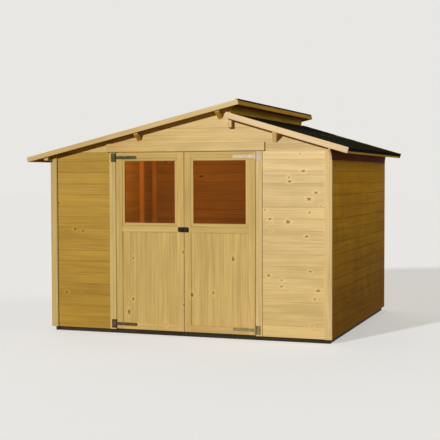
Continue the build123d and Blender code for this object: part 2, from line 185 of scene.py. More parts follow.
def cut_between(solid, axis, low, high):
    """The part of a solid between two places along an axis."""
    board = solid.copy()
    saw_off(board, axis * low, -axis)
    saw_off(board, axis * high, axis)
    return board


def separate_timbers(node):
    """Each separate timber of a node, in the order of their faces, so the same each run."""
    solid = merged_solid(node)
    solid.faces.index_update()
    taken = set()
    found = []
    for first in solid.faces:
        if first.index in taken:
            continue
        kept = {first.index}
        to_visit = [first]
        while to_visit:
            face = to_visit.pop()
            for edge in face.edges:
                for neighbour in edge.link_faces:
                    if neighbour.index not in kept:
                        kept.add(neighbour.index)
                        to_visit.append(neighbour)
        taken |= kept
        timber = solid.copy()
        timber.faces.ensure_lookup_table()
        others = [face for face in timber.faces if face.index not in kept]
        bmesh.ops.delete(timber, geom=others, context="FACES")
        found.append(timber)
    solid.free()
    return found


def round_edges(solid, edges, width, segments):
    """Round some edges of a solid over this width."""
    bmesh.ops.bevel(
        solid,
        geom=edges,
        offset=width,
        offset_type="OFFSET",
        segments=segments,
        profile=0.5,
        affect="EDGES",
        clamp_overlap=True,
        material=-1,
    )


def ease_edges(solid, width, segments=1):
    """Take the sharpness off the edges of a squared piece."""
    sharp = [
        edge
        for edge in solid.edges
        if len(edge.link_faces) == 2 and edge.calc_face_angle() > sharp_angle
    ]
    round_edges(solid, sharp, width, segments)


def main_directions(solid):
    """The length and the width of a timber, as directions."""
    longest = max(solid.edges, key=lambda edge: edge.calc_length())
    along = (longest.verts[1].co - longest.verts[0].co).normalized()
    widest = max(solid.faces, key=lambda face: face.calc_area())
    across = along.cross(widest.normal).normalized()
    return along, across


def mark_grain(solid, along, across):
    """Give a timber its own stretch of grain, which runs along it, and its own tone."""
    layers = solid.verts.layers
    grain_place = layers.float_vector.new("grain_place")
    board_tone = layers.float.new("board_tone")
    board_span = layers.float.new("board_span")
    through = along.cross(across)
    shift = Vector((chance.uniform(-40, 40), chance.uniform(-40, 40), chance.uniform(-40, 40)))
    tone = chance.random()
    places = [vert.co.dot(across) for vert in solid.verts]
    lowest, highest = min(places), max(places)
    for vert in solid.verts:
        place = Vector((vert.co.dot(along), vert.co.dot(across), vert.co.dot(through)))
        vert[grain_place] = place + shift
        vert[board_tone] = tone
        vert[board_span] = (place.y - lowest) / (highest - lowest)


def dress_timber(timber, edge, directions=None, segments=1):
    """Give one timber eased edges, and grain in these directions or along its length."""
    along, across = directions or main_directions(timber)
    ease_edges(timber, edge, segments)
    mark_grain(timber, along, across)


def mark_painted_lit_ends(solid):
    """Tell the faces that look to the front from the ones at their side, to paint the first as
    lit and the others as shaded.
    """
    front_facing = -0.25
    side_facing = 0.3
    sunlit_end = solid.verts.layers.float.new("sunlit_end")
    for vert in solid.verts:
        at_end = any(
            face.normal.y < front_facing and abs(face.normal.x) < side_facing
            for face in vert.link_faces
        )
        vert[sunlit_end] = float(at_end)


def put_in_scene(name, content):
    """A new object in the scene, for a mesh, a lamp or the camera."""
    made = bpy.data.objects.new(name, content)
    bpy.context.scene.collection.objects.link(made)
    return made


def make_piece(name, solids, material, slot, body, *replaced):
    """One finished object from separate solids."""
    whole = bmesh.new()
    for solid in solids:
        part = bpy.data.meshes.new("part")
        solid.to_mesh(part)
        whole.from_mesh(part)
        bpy.data.meshes.remove(part)
        solid.free()
    mesh = bpy.data.meshes.new(name)
    whole.to_mesh(mesh)
    whole.free()
    mesh.materials.append(material)
    piece = put_in_scene(name, mesh)
    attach(piece, body)
    if replaced:
        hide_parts(*replaced)
    return piece


def smooth_round_faces(piece):
    """Smooth shading over a round surface, with its hard edges kept."""
    piece.data.shade_smooth()
    piece.data.set_sharp_from_angle(angle=shading_angle)


def make_boards(node, material, slot, body, axis, along, start, width, edge):
    """Tongue-and-groove boards with V grooves, in the place of one plain sheet."""
    sheet = merged_solid(node)
    places = [vert.co.dot(axis) for vert in sheet.verts]
    lowest, highest = min(places), max(places)
    boards = []
    low = start + width * int((lowest - start) / width)
    while low < highest - narrowest_board:
        high = low + width
        if high > lowest + narrowest_board:
            board = cut_between(sheet, axis, low, high)
            dress_timber(board, edge, (along, axis))
            boards.append(board)
        low = high
    sheet.free()
    make_piece(f"{node}_tongue_boards", boards, material, slot, body, node)


def make_timbers(material, slot, edge, *replaced):
    """Planed or sawn timbers on the shed's body, one piece for each node they replace."""
    for node in replaced:
        timbers = separate_timbers(node)
        for timber in timbers:
            dress_timber(timber, edge)
        make_piece(f"{node}_timber", timbers, material, slot, "shed", node)


def mitred_members(ring):
    """The four sides of a flat ring of mouldings, cut at 45 degrees in its corners."""
    places = [vert.co for vert in ring.verts]
    left, right = min(p.x for p in places), max(p.x for p in places)
    foot, top = min(p.z for p in places), max(p.z for p in places)
    corners = {
        "foot": ((left, foot, -1, 1), (right, foot, 1, 1)),
        "top": ((left, top, -1, -1), (right, top, 1, -1)),
        "left": ((left, foot, 1, -1), (left, top, 1, 1)),
        "right": ((right, foot, -1, -1), (right, top, -1, 1)),
    }
    members = []
    for cuts in corners.values():
        member = ring.copy()
        for x, z, outwards_x, outwards_z in cuts:
            outwards = Vector((outwards_x, 0, outwards_z)).normalized()
            saw_off(member, Vector((x, 0, z)), outwards)
        members.append(member)
    return members


def edges_at(solid, x=None, y=None):
    """The edges that lie wholly at this x, this y or both."""
    return [
        edge
        for edge in solid.edges
        if all(
            (x is None or abs(vert.co.x - x) < weld_distance)
            and (y is None or abs(vert.co.y - y) < weld_distance)
            for vert in edge.verts
        )
    ]


def round_corners(solid, x, radius, segments):
    """Round the corners that flat straps or plates have at one end."""
    corners = [
        edge
        for edge in edges_at(solid, x=x)
        if abs(edge.verts[0].co.z - edge.verts[1].co.z) < weld_distance
    ]
    round_edges(solid, corners, radius, segments)


def timber_corners(node):
    """The low and high corner of each separate timber of a node."""
    corners = []
    for timber in separate_timbers(node):
        places = [vert.co for vert in timber.verts if vert.link_faces]
        low = Vector([min(place[axis] for place in places) for axis in range(3)])
        high = Vector([max(place[axis] for place in places) for axis in range(3)])
        corners.append((low, high))
        timber.free()
    return corners


def fixing_head(place, outwards, radius, sides, recess=0.0):
    """The head of one nail or screw on a face, screws with a recess for the driver."""
    head = bmesh.new()
    crown_radius = radius * 0.72
    bmesh.ops.create_cone(
        head, cap_ends=True, segments=sides, radius1=radius, radius2=crown_radius,
        depth=head_height,
    )
    if recess:
        head.faces.ensure_lookup_table()
        crown = max(head.faces, key=lambda face: face.calc_center_median().z)
        rim_width = radius * 0.34
        bmesh.ops.inset_individual(head, faces=[crown], thickness=rim_width)
        bmesh.ops.translate(head, vec=(0, 0, -recess), verts=crown.verts)
    turn = outwards.to_track_quat("Z", "Y").to_matrix().to_4x4()
    bmesh.ops.transform(head, matrix=Matrix.Translation(place) @ turn, verts=head.verts)
    return head


def make_nails(name, places, outwards, radius=nail_radius):
    """Nail heads on the shed's body."""
    heads = [fixing_head(place, outwards, radius, nail_sides) for place in places]
    make_piece(name, heads, fixing_zinc, "hinge_steel", "shed")


def make_screws(name, places, material, slot, body):
    """Screw heads on a front face."""
    recess = head_height / 2
    heads = [
        fixing_head(place, -y_axis, screw_radius, screw_sides, recess) for place in places
    ]
    make_piece(name, heads, material, slot, body)


# Surfaces

def paint(red, green, blue):
    """A colour written as it shows on a screen, from 0 to 255, as the shader's own values."""
    shares = (red / 255, green / 255, blue / 255)
    linear = [
        share / 12.92 if share <= 0.04045 else ((share + 0.055) / 1.055) ** 2.4
        for share in shares
    ]
    return (*linear, 1)


class Finish:
    """A procedural material, made node by node."""

    def __init__(self, name):
        self.material = bpy.data.materials.new(name)
        self.material.use_nodes = True
        self.tree = self.material.node_tree
        self.shader = self.tree.nodes["Principled BSDF"]

    def node(self, kind, inputs, **settings):
        made = self.tree.nodes.new(kind)
        for name, value in settings.items():
            setattr(made, name, value)
        for name, value in inputs.items():
            self.join(value, made.inputs[name])
        return made

    def join(self, value, socket):
        if isinstance(value, bpy.types.NodeSocket):
            self.tree.links.new(value, socket)
        else:
            socket.default_value = value

    def surface(self, name, value):
        self.join(value, self.shader.inputs[name])

    def attribute(self, name, output):
        return self.node("ShaderNodeAttribute", {}, attribute_name=name).outputs[output]

    def place(self):
        return self.node("ShaderNodeTexCoord", {}).outputs["Object"]

    def math(self, operation, first, second=0.0):
        made = self.node("ShaderNodeMath", {0: first, 1: second}, operation=operation)
        return made.outputs[0]

    def stretch(self, vector, scale):
        made = self.node(
            "ShaderNodeVectorMath", {0: vector, 1: scale}, operation="MULTIPLY"
        )
        return made.outputs[0]

    def noise(self, vector, scale, detail=3.0, roughness=0.5, distortion=0.0):
        made = self.node(
            "ShaderNodeTexNoise",
            {
                "Vector": vector,
                "Scale": scale,
                "Detail": detail,
                "Roughness": roughness,
                "Distortion": distortion,
            },
        )
        return made.outputs["Fac"]

    def map_range(self, value, low, high, out_low=0.0, out_high=1.0, smooth=True):
        made = self.node(
            "ShaderNodeMapRange",
            {
                "Value": value,
                "From Min": low,
                "From Max": high,
                "To Min": out_low,
                "To Max": out_high,
            },
            interpolation_type="SMOOTHSTEP" if smooth else "LINEAR",
        )
        return made.outputs["Result"]

    def mix(self, share, first, second, blend="MIX"):
        made = self.node(
            "ShaderNodeMix", {0: share, 6: first, 7: second}, data_type="RGBA", blend_type=blend
        )
        return made.outputs[2]

    def tint(self, colour, tint):
        return self.mix(1.0, colour, tint, "MULTIPLY")

    def bump(self, height, distance, strength=1.0):
        made = self.node(
            "ShaderNodeBump", {"Height": height, "Distance": distance, "Strength": strength}
        )
        return made.outputs["Normal"]


camera_turn = (
    Matrix.Rotation(camera_yaw, 3, "Z")
    @ Matrix.Rotation(pi / 2 + camera_pitch, 3, "X")
    @ Matrix.Rotation(camera_roll, 3, "Z")
)


def on_front(pixel_x, pixel_y):
    """The point of the front wall's face that shows at a pixel of the photograph."""
    pixel_pitch = sensor_width / photo_size
    ray = camera_turn @ Vector(
        (
            (pixel_x - photo_size / 2) * pixel_pitch,
            (photo_size / 2 - pixel_y) * pixel_pitch,
            -camera_lens,
        )
    )
    return camera_place + ray * ((front_y - camera_place.y) / ray.y)


def wood(name, pale, deep, seam_shade=0.3, scattered_knots=0.1, seen_knots=(),
         fibre_height=0.0003, grain_contrast=1.0, tone_spread=0.07, foot_tone=None,
         lit_right_end=None, lit_front_end=None, shine=0.1, knot_stretch=(0.75, 1.1)):
    """Softwood with growth rings, fibres and knots, lighter and darker from board to board."""
    finish = Finish(name)
    grain_place = finish.attribute("grain_place", "Vector")
    board_tone = finish.attribute("board_tone", "Fac")
    board_span = finish.attribute("board_span", "Fac")
    place_parts = finish.node("ShaderNodeSeparateXYZ", {"Vector": finish.place()}).outputs

    # Painted light and shade: the front is paler towards its right end, where it stands in more
    # light, and deeper towards its left end, in shade.
    if lit_right_end:
        painted_light_share = finish.map_range(
            place_parts["X"], painted_light_start_x, painted_light_end_x, 0.0, 1.0, False
        )
        lit_right_pale, lit_right_deep = lit_right_end
        pale = finish.mix(painted_light_share, pale, lit_right_pale)
        deep = finish.mix(painted_light_share, deep, lit_right_deep)

    # Painted light and shade: the faces at the ends that look to the front take these lit
    # colours, and the faces at their side keep the darker, shaded ones.
    if lit_front_end:
        sunlit = finish.attribute("sunlit_end", "Fac")
        end_pale, end_deep = lit_front_end
        pale = finish.mix(sunlit, pale, end_pale)
        deep = finish.mix(sunlit, deep, end_deep)

    # Knots: distance from the nearest one, in knot radii
    knot_cell = finish.node(
        "ShaderNodeTexVoronoi",
        {"Vector": finish.stretch(grain_place, knot_cells), "Scale": 1.0},
    )
    cell_chance = finish.node(
        "ShaderNodeSeparateColor", {"Color": knot_cell.outputs["Color"]}
    ).outputs["Red"]
    empty_cell = finish.math("GREATER_THAN", cell_chance, scattered_knots)
    knot_distance = finish.math(
        "MULTIPLY", knot_cell.outputs["Distance"], knot_radii_in_cell
    )
    knot_distance = finish.math(
        "ADD", knot_distance, finish.math("MULTIPLY", empty_cell, far_from_knots)
    )
    if seen_knots:
        place = finish.stretch(finish.place(), (knot_stretch[0], 0.0, knot_stretch[1]))
        for knot_pixel in seen_knots:
            centre = on_front(*knot_pixel)
            centre = Vector((centre.x * knot_stretch[0], 0, centre.z * knot_stretch[1]))
            distance = finish.node(
                "ShaderNodeVectorMath", {0: place, 1: centre}, operation="DISTANCE"
            ).outputs["Value"]
            distance = finish.math("DIVIDE", distance, knot_radius * chance.uniform(0.7, 1.35))
            # A knot that seems further off is paler and smaller.
            paleness = chance.choice((0.0, 0.15, 0.35, 0.7))
            distance = finish.math("ADD", distance, paleness)
            knot_distance = finish.math("MINIMUM", knot_distance, distance)
    ragged = finish.noise(grain_place, 60.0, 2.0)
    knot_distance = finish.math(
        "ADD", knot_distance, finish.map_range(ragged, 0.25, 0.75, -0.55, 0.55, False)
    )
    near_knot = finish.map_range(knot_distance, 3.4, 0.7)
    knot_heart = finish.map_range(knot_distance, 1.25, 0.45, 0.0, 0.9)
    knot_rim = finish.math(
        "MULTIPLY",
        finish.map_range(knot_distance, 1.5, 1.1),
        finish.map_range(knot_distance, 0.7, 1.1),
    )

    # Growth rings, pushed aside by the knots
    sway = finish.noise(finish.stretch(grain_place, sway_stretch), 1.0, 2.0)
    sideways = finish.math(
        "ADD",
        finish.math("MULTIPLY", sway, sway_reach),
        finish.math("MULTIPLY", near_knot, knot_push),
    )
    shifted = finish.node(
        "ShaderNodeVectorMath",
        {0: grain_place, 1: finish.node("ShaderNodeCombineXYZ", {"Y": sideways}).outputs[0]},
        operation="ADD",
    ).outputs[0]
    rings = finish.noise(finish.stretch(shifted, ring_stretch), 1.0, 2.5, 0.6)
    streaks = finish.noise(finish.stretch(shifted, streak_stretch), 1.0, 2.0, 0.6)
    fibres = finish.noise(finish.stretch(grain_place, fibre_stretch), 1.0, 2.0)
    blotches = finish.noise(finish.stretch(grain_place, blotch_stretch), 1.0, 3.0)

    # Colour: paler and deeper in the rings, then each board's own tone, and the knots over it
    ring_share = finish.map_range(rings, 0.34, 0.68)
    streak_share = finish.map_range(streaks, 0.36, 0.66)
    grain = finish.math(
        "ADD",
        finish.math("MULTIPLY", ring_share, ring_weight),
        finish.math("MULTIPLY", streak_share, streak_weight),
    )
    grain = finish.map_range(
        grain, 0.0, 1.0, 0.5 - grain_contrast / 2, 0.5 + grain_contrast / 2, False
    )
    colour = finish.mix(grain, pale, deep)
    tone = finish.map_range(board_tone, 0.0, 1.0, -tone_spread, tone_spread, False)
    blotch_tone = finish.map_range(blotches, 0.3, 0.7, -blotch_spread, blotch_spread, False)
    brightness = finish.math("ADD", finish.math("ADD", tone, blotch_tone), 1.0)
    bright = finish.node(
        "ShaderNodeCombineColor", {"Red": brightness, "Green": brightness, "Blue": brightness}
    ).outputs[0]
    colour = finish.tint(colour, bright)
    halo = finish.tint(pale, knot_halo)
    colour = finish.mix(finish.math("MULTIPLY", near_knot, halo_strength), colour, halo)
    colour = finish.mix(knot_heart, colour, finish.tint(deep, knot_brown))
    colour = finish.mix(
        finish.math("MULTIPLY", knot_rim, rim_strength), colour, finish.tint(deep, knot_edge)
    )

    # Dust and shade in the grooves, more in some than in others
    seam = finish.math("ABSOLUTE", finish.math("SUBTRACT", board_span, 0.5))
    seam_patches = finish.noise(finish.stretch(grain_place, seam_stretch), 1.0, 2.0)
    seam_wear = finish.map_range(seam_patches, 0.3, 0.7, 0.5, 1.0)
    seam_dirt = finish.map_range(board_tone, 0.55, 0.95, 0.35, 1.0)
    seam_wear = finish.math("MULTIPLY", finish.math("MULTIPLY", seam_wear, seam_dirt), seam_shade)
    in_seam = finish.math("MULTIPLY", finish.map_range(seam, 0.455, 0.5), seam_wear)
    colour = finish.mix(in_seam, colour, finish.tint(deep, seam_dust))

    # The boards darken towards the ground, up to a ragged line. On the right side wall this
    # darkening is painted shade.
    if foot_tone:
        foot_line_noise = finish.noise(finish.stretch(finish.place(), foot_line_stretch), 1.0, 4.0)
        reach = finish.math(
            "ADD", place_parts["Z"], finish.map_range(foot_line_noise, 0.3, 0.7, -0.15, 0.15)
        )
        foot_darkening = finish.map_range(
            reach, darkening_top_height, darkening_foot_height, 0.0, 1.0, False
        )
        colour = finish.mix(foot_darkening, colour, finish.tint(colour, foot_tone))
    finish.surface("Base Color", colour)
    finish.surface("Roughness", finish.map_range(grain, 0.0, 1.0, 0.56, 0.7, False))
    finish.surface("Specular IOR Level", shine)

    # Fibres and streaks stand out a little, and the knots are sunk.
    height = finish.math(
        "ADD",
        finish.math("MULTIPLY", fibres, fibre_relief),
        finish.math("MULTIPLY", streak_share, streak_relief),
    )
    height = finish.math("SUBTRACT", height, finish.math("MULTIPLY", knot_heart, knot_relief))
    finish.surface("Normal", finish.bump(height, fibre_height))
    return finish.material


def felt():
    """Mineral-faced bitumen felt, black and gritty, with slightly paler wear."""
    finish = Finish("mineral felt")
    place = finish.place()
    grit = finish.noise(place, 900.0, 2.0)
    patches = finish.noise(place, 3.5, 5.0, 0.6)
    colour = finish.mix(
        finish.map_range(grit, 0.55, 0.8), paint(42, 42, 38), paint(72, 74, 66)
    )
    worn = finish.map_range(patches, 0.45, 0.75, 0.0, 0.3)
    colour = finish.mix(worn, colour, paint(58, 58, 50))
    finish.surface("Base Color", colour)
    finish.surface("Roughness", finish.map_range(grit, 0.3, 0.7, 0.9, 1.0))
    finish.surface("Specular IOR Level", 0.0)
    wave = finish.noise(finish.stretch(place, (3.0, 1.2, 3.0)), 1.0, 2.0)
    waved = finish.node(
        "ShaderNodeBump",
        {
            "Height": wave,
            "Distance": 0.02,
            "Strength": 0.5,
            "Normal": finish.bump(grit, 0.0006),
        },
    ).outputs["Normal"]
    finish.surface("Normal", waved)
    return finish.material


def hinge_finish(name, upper_pale, upper_dark, lower_pale, lower_dark):
    """Zinc coating with spangle and stains, in painted reflections: one pair of colours on the
    upper hinge, another on the lower one.
    """
    finish = Finish(name)
    place = finish.place()
    spangle = finish.node("ShaderNodeTexVoronoi", {"Vector": place, "Scale": 170.0})
    flake = finish.node(
        "ShaderNodeSeparateColor", {"Color": spangle.outputs["Color"]}
    ).outputs["Red"]
    stain = finish.noise(place, 26.0, 4.0, 0.6)
    spangle_and_stain = finish.math(
        "ADD", finish.math("MULTIPLY", flake, 0.3), finish.map_range(stain, 0.35, 0.7, 0.0, 0.7)
    )
    height = finish.node("ShaderNodeSeparateXYZ", {"Vector": place}).outputs["Z"]
    upper = finish.math("GREATER_THAN", height, hinge_change_height)
    colour = finish.mix(
        upper,
        finish.mix(spangle_and_stain, lower_pale, lower_dark),
        finish.mix(spangle_and_stain, upper_pale, upper_dark),
    )
    finish.surface("Base Color", colour)
    finish.surface("Metallic", 0.12)
    finish.surface("Specular IOR Level", 0.2)
    finish.surface("Roughness", finish.map_range(stain, 0.3, 0.7, 0.45, 0.68))
    finish.surface("Normal", finish.bump(flake, 0.00008))
    return finish.material


def bright_zinc():
    """Zinc-plated nails and screws, dulled by the weather."""
    finish = Finish("zinc fixings")
    stain = finish.noise(finish.place(), 180.0, 3.0)
    colour = finish.mix(stain, paint(150, 138, 112), paint(104, 88, 62))
    finish.surface("Base Color", colour)
    finish.surface("Metallic", 0.5)
    finish.surface("Roughness", finish.map_range(stain, 0.3, 0.7, 0.4, 0.6))
    return finish.material


def black_steel():
    """Black powder-coated steel, a little dusty."""
    finish = Finish("black steel")
    place = finish.place()
    peel = finish.noise(place, 700.0, 2.0)
    dust = finish.noise(place, 40.0, 4.0)
    colour = finish.mix(
        finish.map_range(dust, 0.5, 0.75, 0.0, 0.3), paint(30, 23, 10), paint(74, 60, 34)
    )
    finish.surface("Base Color", colour)
    finish.surface("Roughness", finish.map_range(dust, 0.3, 0.7, 0.5, 0.65))
    finish.surface("Specular IOR Level", 0.12)
    finish.surface("Normal", finish.bump(peel, 0.0001))
    return finish.material


def clear_glass():
    """Window glass, with a faint film of dust."""
    finish = Finish("window glass")
    film = finish.noise(finish.place(), 6.0, 4.0)
    colour = finish.mix(film, paint(60, 52, 36), paint(96, 84, 60))
    finish.surface("Base Color", colour)
    finish.surface("Roughness", finish.map_range(film, 0.3, 0.7, 0.03, 0.07))
    finish.surface("Alpha", 0.06)
    return finish.material


# Patterns in the wood, as repeats per metre along, across and through a board
knot_cells = (3.2, 8.0, 0.0)
sway_stretch = (1.1, 5.0, 5.0)
ring_stretch = (0.8, 85.0, 60.0)
streak_stretch = (2.2, 260.0, 200.0)
fibre_stretch = (28.0, 1500.0, 1500.0)
blotch_stretch = (1.6, 8.0, 8.0)
seam_stretch = (3.0, 0.0, 0.0)
foot_line_stretch = (5.0, 5.0, 3.0)  # along X, Y and Z

# How far the rings sway aside, and how much each pattern counts in the colour
sway_reach = 0.08
ring_weight = 0.65
streak_weight = 0.35
blotch_spread = 0.1

# Knots
knot_radius = 0.0125
knot_radii_in_cell = 9.0
far_from_knots = 50.0
knot_push = 0.014  # how far the rings bend round one
halo_strength = 0.75
rim_strength = 0.3

# How far the grain stands out, as shares of fibre_height, and how far a knot is sunk
fibre_relief = 0.55
streak_relief = 0.45
knot_relief = 0.8

# Tints, where the front is painted paler in more light, and where the boards darken towards the
# ground
knot_brown = paint(168, 144, 100)
knot_edge = paint(146, 120, 80)
knot_halo = (1.1, 1.08, 1.06, 1)
seam_dust = paint(158, 132, 100)
painted_light_start_x = -1.2
painted_light_end_x = 1.3
darkening_top_height = 2.0
darkening_foot_height = 0.25
front_foot_tone = (0.87, 0.83, 0.66, 1)
# Painted shade on the right side wall, deepest at its foot
side_painted_foot_shade = (0.4, 0.34, 0.3, 1)
hinge_change_height = 1.0  # between the lower hinges and the upper ones

gable_wood = wood(
    "gable boards", paint(213, 184, 112), paint(191, 156, 84), 0.35, 0.04,
    grain_contrast=0.8, lit_right_end=(paint(232, 208, 158), paint(208, 177, 122)),
)
right_wall_wood = wood(
    "sunlit wall boards", paint(234, 210, 160), paint(212, 181, 126), 0.4, 0.0,
    right_panel_knots, grain_contrast=0.8, foot_tone=front_foot_tone,
)
# Painted shade: the left panel of the front wall is a deeper copy of the right panel's boards,
# for the shade it stands in.
left_wall_wood_painted_shade = wood(
    "honey wall boards", paint(190, 155, 71), paint(167, 130, 51), 0.4, 0.05,
    left_panel_knots, grain_contrast=0.8, foot_tone=front_foot_tone,
)
# Painted shade: the right side wall's boards are a deep orange copy, for the warm shade that side
# stands in, and they darken further towards the ground.
side_wall_wood_painted_shade = wood(
    "side wall boards", paint(232, 184, 36), paint(204, 152, 22), 0.9, 0.12,
    grain_contrast=0.8, foot_tone=side_painted_foot_shade, shine=0.02,
)
back_wall_wood = wood(
    "back and left wall boards", paint(204, 164, 76), paint(176, 136, 54), 0.8, 0.1,
    grain_contrast=0.8, foot_tone=front_foot_tone, shine=0.04,
)
door_wood = wood(
    "door boards", paint(203, 175, 106), paint(181, 148, 78), 0.25, 0.0, door_knots,
    grain_contrast=0.9, tone_spread=0.045,
    lit_right_end=(paint(212, 184, 120), paint(190, 157, 92)), knot_stretch=(1.1, 0.75),
)
trim_wood = wood(
    "planed trim", paint(201, 179, 117), paint(184, 156, 93), 0.0, 0.06, grain_contrast=0.8,
    lit_right_end=(paint(226, 200, 142), paint(206, 173, 113)),
)
# Painted light and shade: the left roof trim is deeper towards its left end, and the right one
# keeps the paler, lit colour.
left_rake_wood = wood(
    "planed roof trim, left", paint(208, 181, 122), paint(190, 158, 96), 0.0, 0.05,
    grain_contrast=0.8, lit_right_end=(paint(232, 208, 158), paint(214, 184, 130)),
)
right_rake_wood = wood(
    "planed roof trim, right", paint(240, 214, 170), paint(222, 192, 144), 0.0, 0.05,
    grain_contrast=0.8,
)
# Painted shade: the plank under the right eave is dark red-brown for the eave's shade on its
# side, and its front end takes the lit colour.
plank_wood_painted_shade = wood(
    "right plank", paint(116, 54, 8), paint(92, 36, 4), 0.0, 0.06, grain_contrast=0.8,
    lit_front_end=(paint(224, 198, 142), paint(204, 172, 112)), shine=0.02,
)
# Painted light: the roof edge boards and the step board are paler and brighter than the same wood
# elsewhere, to light them in the roof's shade.
edge_board_wood_painted_light = wood(
    "roof edge boards", paint(226, 188, 72), paint(200, 158, 48), 0.0, 0.08,
    grain_contrast=0.8, shine=0.02,
)
step_board_wood_painted_light = wood(
    "step board", paint(250, 214, 84), paint(232, 190, 62), 0.0, 0.08,
    grain_contrast=0.8, shine=0.02,
)
purlin_wood = wood(
    "roof timbers", paint(216, 180, 76), paint(192, 152, 54), 0.0, 0.08, grain_contrast=0.8
)
# Painted light: the framing is made paler, so that the studs seen through the panes look lit.
frame_wood = wood(
    "sawn framing", paint(240, 196, 92), paint(214, 164, 62), 0.0, 0.12, fibre_height=0.0006
)
roof_wood = wood("roof boards", paint(204, 144, 60), paint(170, 110, 38), 0.5, 0.12)
floor_wood = wood("floor boards", paint(196, 150, 88), paint(160, 114, 58), 0.6, 0.12)
bearer_wood = wood(
    "treated bearers", paint(58, 46, 30), paint(38, 30, 20), 0.0, 0.05, fibre_height=0.0006
)
roof_felt = felt()
# Painted reflections: the colours of each hinge stand for the trees and sky that its zinc
# reflects, dark on the left hinges and bright on the right ones.
left_hinge_painted_reflections = hinge_finish(
    "left hinges", paint(74, 76, 42), paint(46, 44, 8), paint(92, 66, 38), paint(56, 38, 6)
)
right_hinge_painted_reflections = hinge_finish(
    "right hinges", paint(202, 189, 167), paint(179, 166, 141), paint(150, 130, 88),
    paint(118, 100, 58),
)
fixing_zinc = bright_zinc()
latch_steel = black_steel()
window_glass = clear_glass()


# Walls

wall_finishes = {
    "front_wall_left": left_wall_wood_painted_shade,
    "front_wall_right": right_wall_wood,
    "front_gable": gable_wood,
    "back_wall": back_wall_wood,
    "left_wall": back_wall_wood,
    "right_wall": side_wall_wood_painted_shade,
}
for wall, wall_finish in wall_finishes.items():
    foot = gable_foot_height if wall == "front_gable" else wall_foot_height
    direction = y_axis if wall in ("left_wall", "right_wall") else x_axis
    groove = wall_groove if wall.startswith("front") else side_wall_groove
    make_boards(
        wall, wall_finish, "wall_wood", "shed", z_axis, direction, foot, wall_board_width, groove
    )

# Roof and floor boards
for slab in ("roof_boards_left", "roof_boards_right"):
    low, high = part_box(slab)
    down_slope = Vector((high.x - low.x, 0, high.z - low.z)).normalized()
    if slab == "roof_boards_right":
        down_slope.z = -down_slope.z
    make_boards(
        slab, roof_wood, "roof_wood", "shed", y_axis, down_slope, low.y, roof_board_width,
        planed_edge,
    )
floor_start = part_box("floor_deck")[0].y
make_boards(
    "floor_deck", floor_wood, "floor_wood", "shed", y_axis, x_axis, floor_start,
    floor_board_width, planed_edge,
)

# Timbers of the frame and the roof
make_timbers(
    frame_wood, "frame_wood", sawn_edge,
    "corner_posts", "wall_studs", "sole_rails", "door_header", "door_sill",
)
make_timbers(purlin_wood, "frame_wood", sawn_edge, "purlin_left_mid", "purlin_left_upper")
make_timbers(
    trim_wood, "frame_wood", sawn_edge,
    "wall_plate_left", "purlin_right_upper", "purlin_right_mid",
)
# Its side carries the painted shade, and its front end the painted light.
plank = merged_solid("wall_plate_right")
dress_timber(plank, sawn_edge)
mark_painted_lit_ends(plank)
make_piece(
    "wall_plate_right_plank", [plank], plank_wood_painted_shade, "frame_wood", "shed", "wall_plate_right"
)
make_timbers(bearer_wood, "bearer_wood", sawn_edge, "floor_bearers", "rim_bearers")
make_timbers(gable_wood, "trim_wood", planed_edge, "door_lintel_board")

# Corner trims, rounded along the edge towards the wall panel
trims = separate_timbers("corner_trims")
for trim in trims:
    along, across = main_directions(trim)
    panel_x = min((vert.co.x for vert in trim.verts), key=abs)
    face_y = max((vert.co.y for vert in trim.verts), key=abs)
    round_edges(trim, edges_at(trim, panel_x, face_y), trim_rounding, segments=6)
    face_edges = [
        edge for edge in edges_at(trim, y=face_y) if edge.calc_face_angle() > sharp_angle
    ]
    round_edges(trim, face_edges, planed_edge, segments=1)
    mark_grain(trim, along, across)
make_piece("corner_trims_timber", trims, trim_wood, "trim_wood", "shed", "corner_trims")

# Roof edges
make_timbers(left_rake_wood, "rake_wood", planed_edge, "front_rake_left", "back_rake_left")
make_timbers(right_rake_wood, "rake_wood", planed_edge, "front_rake_right", "back_rake_right")
make_timbers(edge_board_wood_painted_light, "rake_wood", planed_edge, "high_edge_fascia", "eave_boards")
make_timbers(step_board_wood_painted_light, "rake_wood", planed_edge, "step_board")

# Each jamb is two strips side by side. An open joint runs between the right one and the wall.
for side, joint in (("left", 0.0), ("right", jamb_joint_width)):
    jamb = merged_solid(f"door_jamb_{side}")
    low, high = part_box(f"door_jamb_{side}")
    middle_x = (low.x + high.x) / 2
    places = [(low.x, middle_x, low.y), (middle_x, high.x - joint, low.y)]
    if joint:
        places.append((high.x - joint, high.x, low.y + jamb_joint_depth))
    strips = []
    for strip_low, strip_high, strip_front in places:
        full_depth = cut_between(jamb, x_axis, strip_low, strip_high)
        strip = cut_between(full_depth, y_axis, strip_front, high.y)
        full_depth.free()
        dress_timber(strip, sawn_edge, (z_axis, x_axis), segments=2)
        strips.append(strip)
    jamb.free()
    make_piece(
        f"door_jamb_{side}_strips", strips, trim_wood, "trim_wood", "shed", f"door_jamb_{side}"
    )

